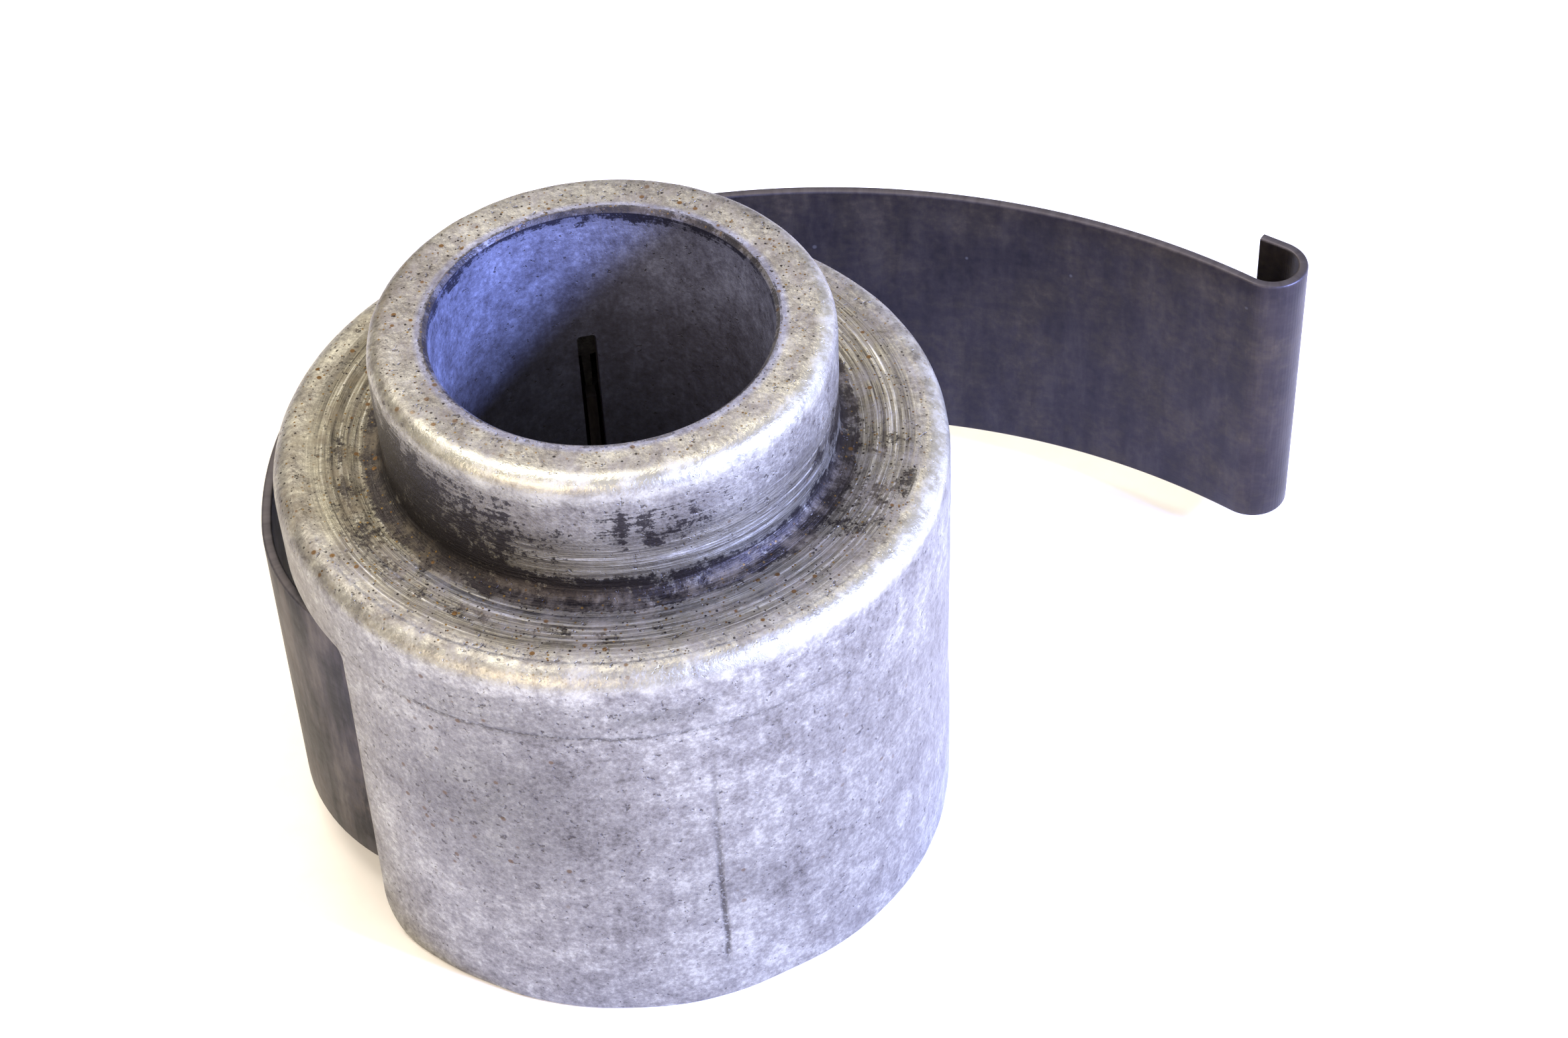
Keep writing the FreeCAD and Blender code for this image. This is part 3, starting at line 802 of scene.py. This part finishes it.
# Rust-brown specks, 0.4 mm across, on the dull walls.
specks = add(tree, "TexVoronoi", {"Vector": mm, "Scale": 0.8, "Randomness": 1.0})
speck = add(tree, "MapRange", {0: specks.outputs["Distance"], 1: 0.2, 2: 0.13},
            clamp=True).outputs[0]
chosen = add(tree, "SeparateColor", {0: specks.outputs["Color"]}).outputs[1]
chosen = add(tree, "Math", {0: chosen, 1: 0.72}, operation="GREATER_THAN").outputs[0]
near_dull = add(tree, "MapRange", {0: marks["dulled_and_shaded"], 1: 0.1, 2: 0.35, 4: 0.8},
                clamp=True).outputs[0]
for share in (chosen, near_dull):
    speck = add(tree, "Math", {0: speck, 1: share}, operation="MULTIPLY").outputs[0]
base = add(tree, "Mix", {0: speck, 6: base, 7: linear("5a4630")}, data_type="RGBA").outputs[2]
# Edges rubbed to pale, creamy metal, with a painted highlight on the front and on the window side.
rub_and_highlight = add(tree, "Math", {0: mottle, 1: 0.5}, operation="SUBTRACT").outputs[0]
rub_and_highlight = add(tree, "Math", {0: rub_and_highlight, 1: 1.6, 2: marks["rubbed"]}, operation="MULTIPLY_ADD").outputs[0]
rub_and_highlight = add(tree, "MapRange", {0: rub_and_highlight, 1: 0.2, 2: 0.85}, clamp=True).outputs[0]
rub_and_highlight = add(tree, "Math", {0: rub_and_highlight, 1: marks["rubbed"]}, operation="MULTIPLY",
          use_clamp=True).outputs[0]
base = add(tree, "Mix", {0: rub_and_highlight, 6: base, 7: linear("b9b8aa")}, data_type="RGBA").outputs[2]
# The bore: a painted blue reflection, and painted shade deeper down. The chamber: painted shade.
deep = add(tree, "MapRange", {0: xyz["Z"], 1: 47.5, 2: 37.0, 3: 0.0, 4: 0.5},
           clamp=True).outputs[0]
deep = add(tree, "Math", {0: deep, 1: marks["bored"]}, operation="MULTIPLY").outputs[0]
painted_blue_light = add(tree, "Mix", {0: 1.0, 6: base, 7: linear("c2ccff")}, data_type="RGBA",
            blend_type="MULTIPLY").outputs[2]
base = add(tree, "Mix", {0: marks["bored"], 6: base, 7: painted_blue_light}, data_type="RGBA").outputs[2]
base = add(tree, "Mix", {0: deep, 6: base, 7: linear("3a3531")}, data_type="RGBA").outputs[2]
chamber_shade = add(tree, "Math", {0: marks["chamber"], 1: 0.72}, operation="MULTIPLY").outputs[0]
base = add(tree, "Mix", {0: chamber_shade, 6: base, 7: linear("363233")}, data_type="RGBA").outputs[2]
# Roughness: frosted metal, smoother where it is rubbed or oily.
rough = add(tree, "MapRange", {0: mixed, 1: 0.3, 2: 0.7, 3: 0.40, 4: 0.58}).outputs[0]
rough = add(tree, "Mix", {0: rub_and_highlight, 2: rough, 3: 0.3}, data_type="FLOAT").outputs[0]
rough = add(tree, "Mix", {0: stain_and_shade, 2: rough, 3: 0.38}, data_type="FLOAT").outputs[0]
rough = add(tree, "Mix", {0: dust, 2: rough, 3: 0.8}, data_type="FLOAT").outputs[0]
metal = add(tree, "Mix", {0: dust, 2: 0.85, 3: 0.1}, data_type="FLOAT").outputs[0]
metal = add(tree, "Mix", {0: marks["bored"], 2: metal, 3: 0.2}, data_type="FLOAT").outputs[0]
# Relief: frosting, pits and rings.
relief = add(tree, "Math", {0: pits, 1: -0.8, 2: grain}, operation="MULTIPLY_ADD").outputs[0]
relief = add(tree, "Math", {0: line, 1: -1.2, 2: relief}, operation="MULTIPLY_ADD").outputs[0]
ring_relief = add(tree, "Math", {0: rings, 1: marks["turned"]}, operation="MULTIPLY").outputs[0]
relief = add(tree, "Math", {0: ring_relief, 1: 1.6, 2: relief},
             operation="MULTIPLY_ADD").outputs[0]
bump = add(tree, "Bump", {"Height": relief, "Distance": 0.055 * MM, "Strength": 1.0})
shader = add(tree, "BsdfPrincipled", {"Base Color": base, "Roughness": rough,
                                      "Metallic": metal, "Normal": bump.outputs[0]})
add(tree, "OutputMaterial", {0: shader.outputs[0]})
slotted.materials.clear()
slotted.materials.append(cast_metal)

# %% [markdown]
# ## Finish of the strip: blued spring steel
# Hardened strip is rolled smooth, blued in hot salts to a near-black violet, and oiled. It
# shows a satin gloss, faint brown-grey clouds where the oil has dried, and a bare edge.

# %% Blued spring steel
def blued_steel(name, flat_map):
    """The strip's finish, laid by its flat UV map or, on the wound coil, by its place."""
    made, tree = new_material(name)
    coord = add(tree, "TexCoord").outputs["Object"]
    in_mm = add(tree, "VectorMath", {0: coord, "Scale": 1 / MM}, operation="SCALE").outputs[0]
    height = add(tree, "SeparateXYZ", {0: in_mm}).outputs["Z"]
    if flat_map:
        in_mm = add(tree, "UVMap", uv_map="strip_flat").outputs[0]
        height = add(tree, "SeparateXYZ", {0: in_mm}).outputs["Y"]
    clouds = add(tree, "TexNoise", {"Vector": in_mm, "Scale": 0.16, "Detail": 6.0,
                                    "Roughness": 0.62}).outputs[0]
    fine = add(tree, "TexNoise", {"Vector": in_mm, "Scale": 1.3, "Detail": 4.0,
                                  "Roughness": 0.6}).outputs[0]
    tone = add(tree, "Mix", {0: 0.35, 2: clouds, 3: fine}, data_type="FLOAT").outputs[0]
    base = add(tree, "ValToRGB", {0: tone}, ramp=[
        (0.36, linear("2b272c")), (0.48, linear("353032")), (0.58, linear("413b37")),
        (0.70, linear("554c43"))]).outputs[0]
    # Oil dried in upright patches 2 mm wide, strongest where the strip leaves the window.
    stretch = (0.45, 0.12, 1.0) if flat_map else (0.33, 0.33, 0.07)
    patch_place = add(tree, "VectorMath", {0: in_mm, 1: stretch},
                      operation="MULTIPLY").outputs[0]
    patches = add(tree, "TexNoise", {"Vector": patch_place, "Scale": 1.0, "Detail": 5.0,
                                     "Roughness": 0.65}).outputs[0]
    pale = add(tree, "MapRange", {0: patches, 1: 0.47, 2: 0.36, 4: 0.6}, clamp=True).outputs[0]
    patches = add(tree, "MapRange", {0: patches, 1: 0.49, 2: 0.58, 4: 0.85},
                  clamp=True).outputs[0]
    if flat_map:
        along = add(tree, "SeparateXYZ", {0: in_mm}).outputs["X"]
        near_window = add(tree, "MapRange", {0: along, 1: 34.0, 2: 18.0, 3: 0.25, 4: 1.0},
                          clamp=True).outputs[0]
        pale = add(tree, "Math", {0: pale, 1: near_window}, operation="MULTIPLY").outputs[0]
        patches = add(tree, "Math", {0: patches, 1: near_window}, operation="MULTIPLY").outputs[0]
    base = add(tree, "Mix", {0: pale, 6: base, 7: linear("5c5651")}, data_type="RGBA").outputs[2]
    base = add(tree, "Mix", {0: patches, 6: base, 7: linear("121012")},
               data_type="RGBA").outputs[2]
    # Mill lines along the strip, about 0.3 mm apart.
    lines_place = add(tree, "VectorMath", {0: in_mm, 1: (0.05, 3.3, 3.3)},
                      operation="MULTIPLY").outputs[0]
    lines = add(tree, "TexNoise", {"Vector": lines_place, "Scale": 1.0, "Detail": 2.0}).outputs[0]
    # The sheared edges have lost their bluing.
    from_top = add(tree, "Math", {0: strip_top, 1: height}, operation="SUBTRACT").outputs[0]
    from_foot = add(tree, "Math", {0: height, 1: strip_foot}, operation="SUBTRACT").outputs[0]
    edge = add(tree, "Math", {0: from_top, 1: from_foot}, operation="MINIMUM").outputs[0]
    bare = add(tree, "MapRange", {0: edge, 1: 0.22, 2: 0.03}, clamp=True).outputs[0]
    bare = add(tree, "Math", {0: bare, 1: fine}, operation="MULTIPLY").outputs[0]
    base = add(tree, "Mix", {0: bare, 6: base, 7: linear("57555b")}, data_type="RGBA").outputs[2]
    # A few pale specks of dust and nicks, 0.3 mm across.
    cells = add(tree, "TexVoronoi", {"Vector": in_mm, "Scale": 0.3}).outputs
    speck = add(tree, "MapRange", {0: cells["Distance"], 1: 0.075, 2: 0.04}, clamp=True).outputs[0]
    chosen = add(tree, "SeparateColor", {0: cells["Color"]}).outputs[1]
    chosen = add(tree, "Math", {0: chosen, 1: 0.8}, operation="GREATER_THAN").outputs[0]
    speck = add(tree, "Math", {0: speck, 1: chosen}, operation="MULTIPLY").outputs[0]
    speck = add(tree, "Math", {0: speck, 1: 0.4}, operation="MULTIPLY").outputs[0]
    base = add(tree, "Mix", {0: speck, 6: base, 7: linear("808085")}, data_type="RGBA").outputs[2]
    rough = add(tree, "MapRange", {0: tone, 1: 0.3, 2: 0.75, 3: 0.40, 4: 0.62}).outputs[0]
    relief = add(tree, "Math", {0: lines, 1: 0.5, 2: fine}, operation="MULTIPLY_ADD").outputs[0]
    bump = add(tree, "Bump", {"Height": relief, "Distance": 0.012 * MM, "Strength": 0.8})
    shader = add(tree, "BsdfPrincipled", {"Base Color": base, "Metallic": 0.8,
                                          "Roughness": rough, "Normal": bump.outputs[0]})
    add(tree, "OutputMaterial", {0: shader.outputs[0]})
    return made


steel_flat = blued_steel("blued_spring_steel", True)
steel_wound = blued_steel("blued_spring_steel_wound", False)
for band in bands:
    band.data.materials.clear()
    band.data.materials.append(steel_flat)
coil = frame["nodes"]["spring_coil"]
for slot_index in range(max(1, len(coil.material_slots))):
    if not coil.material_slots:
        coil.data.materials.append(steel_wound)
    coil.material_slots[slot_index].material = steel_wound
print("steel on %d pieces and the coil" % len(bands))

# %% [markdown]
# ## Floor, light and camera
# The object stands on plain white paper, lit by a large cool window low on its right and by
# soft light from all round. The camera is a long lens that looks down at about 45 degrees.

# %% Floor of white paper
paper_mesh = bpy.data.meshes.new("paper_floor")
PAPER_HALF_SIZE = 3.0
FIBRES_PER_METRE = 400.0          # fibres of 2.5 mm
sheet = bmesh.new()
bmesh.ops.create_grid(sheet, x_segments=4, y_segments=4, size=PAPER_HALF_SIZE)
sheet.to_mesh(paper_mesh)
sheet.free()
paper = bpy.data.objects.new("paper_floor", paper_mesh)
bpy.context.scene.collection.objects.link(paper)
paper_finish, tree = new_material("white_paper")
place = add(tree, "TexCoord").outputs["Object"]
fibres = add(tree, "TexNoise", {"Vector": place, "Scale": FIBRES_PER_METRE,
                                "Detail": 3.0}).outputs[0]
tone = add(tree, "ValToRGB", {0: fibres}, ramp=[(0.3, linear("faf8f4")),
                                                (0.7, linear("fdfcf9"))]).outputs[0]
shader = add(tree, "BsdfPrincipled", {"Base Color": tone, "Roughness": 0.8,
                                      "Specular IOR Level": 0.2})
add(tree, "OutputMaterial", {0: shader.outputs[0]})
paper_mesh.materials.append(paper_finish)

# %% Light
world = bpy.data.worlds.new("soft_room")
bpy.context.scene.world = world
world.use_nodes = True
sky = world.node_tree.nodes["Background"]
sky.inputs["Color"].default_value = linear("fff6ea")
sky.inputs["Strength"].default_value = 0.80
AIM_HEIGHT = 0.02


def soft_light(name, azimuth, elevation, distance, size, power, colour):
    """A square soft light that faces the object from a direction in degrees."""
    data = bpy.data.lights.new(name, "AREA")
    data.shape, data.size, data.energy = "SQUARE", size, power
    data.color = linear(colour)[:3]
    lamp = bpy.data.objects.new(name, data)
    bpy.context.scene.collection.objects.link(lamp)
    turn, rise = math.radians(azimuth), math.radians(elevation)
    lamp.location = Vector((math.cos(turn) * math.cos(rise), math.sin(turn) * math.cos(rise),
                            math.sin(rise))) * distance + Vector((0, 0, AIM_HEIGHT))
    aim = Vector((0, 0, AIM_HEIGHT)) - lamp.location
    lamp.rotation_euler = aim.to_track_quat("-Z", "Y").to_euler()


soft_light("window_light", -28, 27, 0.5, 0.12, 10.5, "a6b6ff")
soft_light("warm_fill", -128, 32, 0.8, 0.5, 3.6, "ffe8cc")
soft_light("top_light", 120, 62, 1.1, 0.6, 9, "fff4e4")

# %% Camera
camera_data = bpy.data.cameras.new("camera")
camera_data.sensor_fit, camera_data.sensor_width = "HORIZONTAL", 36.0
camera_data.lens = 76.5
camera_data.clip_start, camera_data.clip_end = 0.01, 50.0
camera = bpy.data.objects.new("camera", camera_data)
bpy.context.scene.collection.objects.link(camera)
YAW, PITCH, ROLL = 0.0691, -0.7821, -0.0473      # radians
CAMERA_PLACE = (0, -0.17935, 0.20506)
ahead = Vector((math.sin(YAW) * math.cos(PITCH), math.cos(YAW) * math.cos(PITCH),
                math.sin(PITCH)))
level = ahead.cross(Vector((0, 0, 1))).normalized()
upward = level.cross(ahead)
right = level * math.cos(ROLL) + upward * math.sin(ROLL)
above = upward * math.cos(ROLL) - level * math.sin(ROLL)
turned_to = Matrix((right, above, -ahead)).transposed()
camera.matrix_world = Matrix.Translation(CAMERA_PLACE) @ turned_to.to_4x4()
bpy.context.scene.camera = camera
bpy.context.scene.view_settings.view_transform = "Standard"
